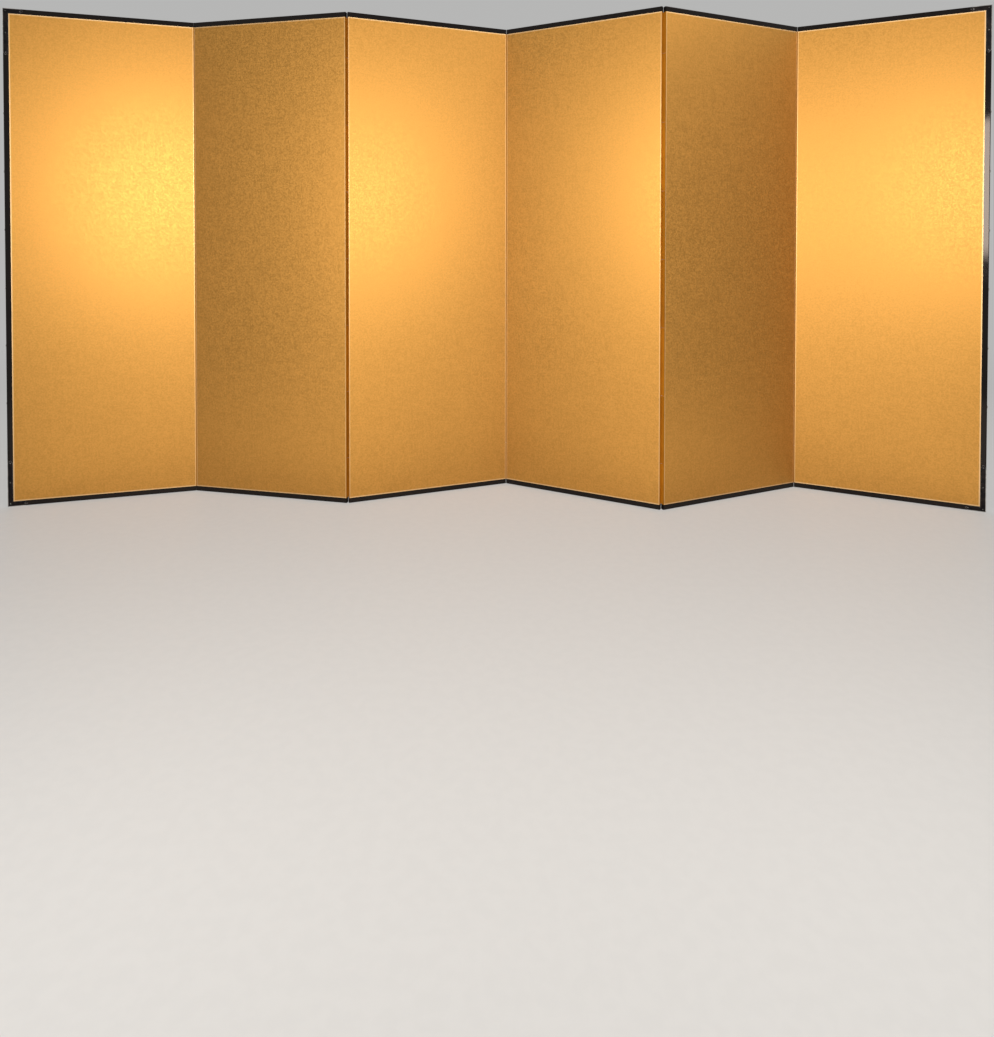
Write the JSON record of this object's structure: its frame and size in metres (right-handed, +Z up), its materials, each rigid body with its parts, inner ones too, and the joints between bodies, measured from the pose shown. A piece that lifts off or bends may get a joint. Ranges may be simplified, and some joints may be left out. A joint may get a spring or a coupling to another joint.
{
  "type": "folding screen",
  "caption": "Free-standing folding screen: flat gold-papered panels in a thin black lacquered frame, joined by paper hinges that fold like an accordion.",
  "frame": {"origin": "on the floor, under the middle of the opened screen's bounding box", "axes": "+X along the opened screen, from its first panel to its sixth as its gold face is seen; +Y towards its back; +Z up"},
  "size_m": [3.4307, 0.3234, 1.7505],
  "materials": {
    "gold_paper": "gold leaf on fine-grained paper, a soft metallic sheen",
    "back_paper": "dark dyed paper with a small stencilled repeat, matte",
    "underpaper": "layered handmade paper, matte",
    "hinge_paper": "strong brown-gold handmade paper, matte",
    "cedar": "planed cedar, straight grain",
    "lacquer": "black lacquer over wood, mirror gloss",
    "dark_metal": "blackened copper alloy, polished at the edges",
    "iron": "forged, dark"
  },
  "bodies": {
    "panel_1": {"back_paper_1": "back_paper", "bottom_rail_1": "lacquer", "core_lattice_1": "cedar", "corner_fitting_bottom_left": "dark_metal", "corner_fitting_top_left": "dark_metal", "end_stile_left": "lacquer", "frame_nails_1": "iron", "gold_paper_1": "gold_paper", "hinge_1_left_part": "hinge_paper", "studs_left": "dark_metal", "top_rail_1": "lacquer", "underpapers_1": "underpaper"},
    "panel_2": {"back_paper_2": "back_paper", "bottom_rail_2": "lacquer", "core_lattice_2": "cedar", "frame_nails_2": "iron", "gold_paper_2": "gold_paper", "hinge_1_right_part": "hinge_paper", "hinge_2_left_part": "hinge_paper", "top_rail_2": "lacquer", "underpapers_2": "underpaper"},
    "panel_3": {"back_paper_3": "back_paper", "bottom_rail_3": "lacquer", "core_lattice_3": "cedar", "frame_nails_3": "iron", "gold_paper_3": "gold_paper", "hinge_2_right_part": "hinge_paper", "hinge_3_left_part": "hinge_paper", "top_rail_3": "lacquer", "underpapers_3": "underpaper"},
    "panel_4": {"back_paper_4": "back_paper", "bottom_rail_4": "lacquer", "core_lattice_4": "cedar", "frame_nails_4": "iron", "gold_paper_4": "gold_paper", "hinge_3_right_part": "hinge_paper", "hinge_4_left_part": "hinge_paper", "top_rail_4": "lacquer", "underpapers_4": "underpaper"},
    "panel_5": {"back_paper_5": "back_paper", "bottom_rail_5": "lacquer", "core_lattice_5": "cedar", "frame_nails_5": "iron", "gold_paper_5": "gold_paper", "hinge_4_right_part": "hinge_paper", "hinge_5_left_part": "hinge_paper", "top_rail_5": "lacquer", "underpapers_5": "underpaper"},
    "panel_6": {"back_paper_6": "back_paper", "bottom_rail_6": "lacquer", "core_lattice_6": "cedar", "corner_fitting_bottom_right": "dark_metal", "corner_fitting_top_right": "dark_metal", "end_stile_right": "lacquer", "frame_nails_6": "iron", "gold_paper_6": "gold_paper", "hinge_5_right_part": "hinge_paper", "studs_right": "dark_metal", "top_rail_6": "lacquer", "underpapers_6": "underpaper"}
  },
  "joints": [
    {"name": "fold_1", "type": "hinge", "parent": "panel_2", "child": "panel_1", "pos_m": [-1.11473, 0.05933, 0], "axis": [0, 0, -1], "range_deg": [-150.6, 29.4]},
    {"name": "fold_2", "type": "hinge", "parent": "panel_3", "child": "panel_2", "pos_m": [-0.52032, -0.05978, 0], "axis": [0, 0, 1], "range_deg": [-145.6, 34.4]},
    {"name": "fold_3", "type": "hinge", "parent": "panel_3", "child": "panel_4", "pos_m": [0.0496, 0.14687, 0], "axis": [0, 0, 1], "range_deg": [-130, 50]},
    {"name": "fold_4", "type": "hinge", "parent": "panel_4", "child": "panel_5", "pos_m": [0.59008, -0.1277, 0], "axis": [0, 0, -1], "range_deg": [-127.2, 52.8]},
    {"name": "fold_5", "type": "hinge", "parent": "panel_5", "child": "panel_6", "pos_m": [1.14923, 0.10655, 0], "axis": [0, 0, 1], "range_deg": [-130, 50]}
  ]
}
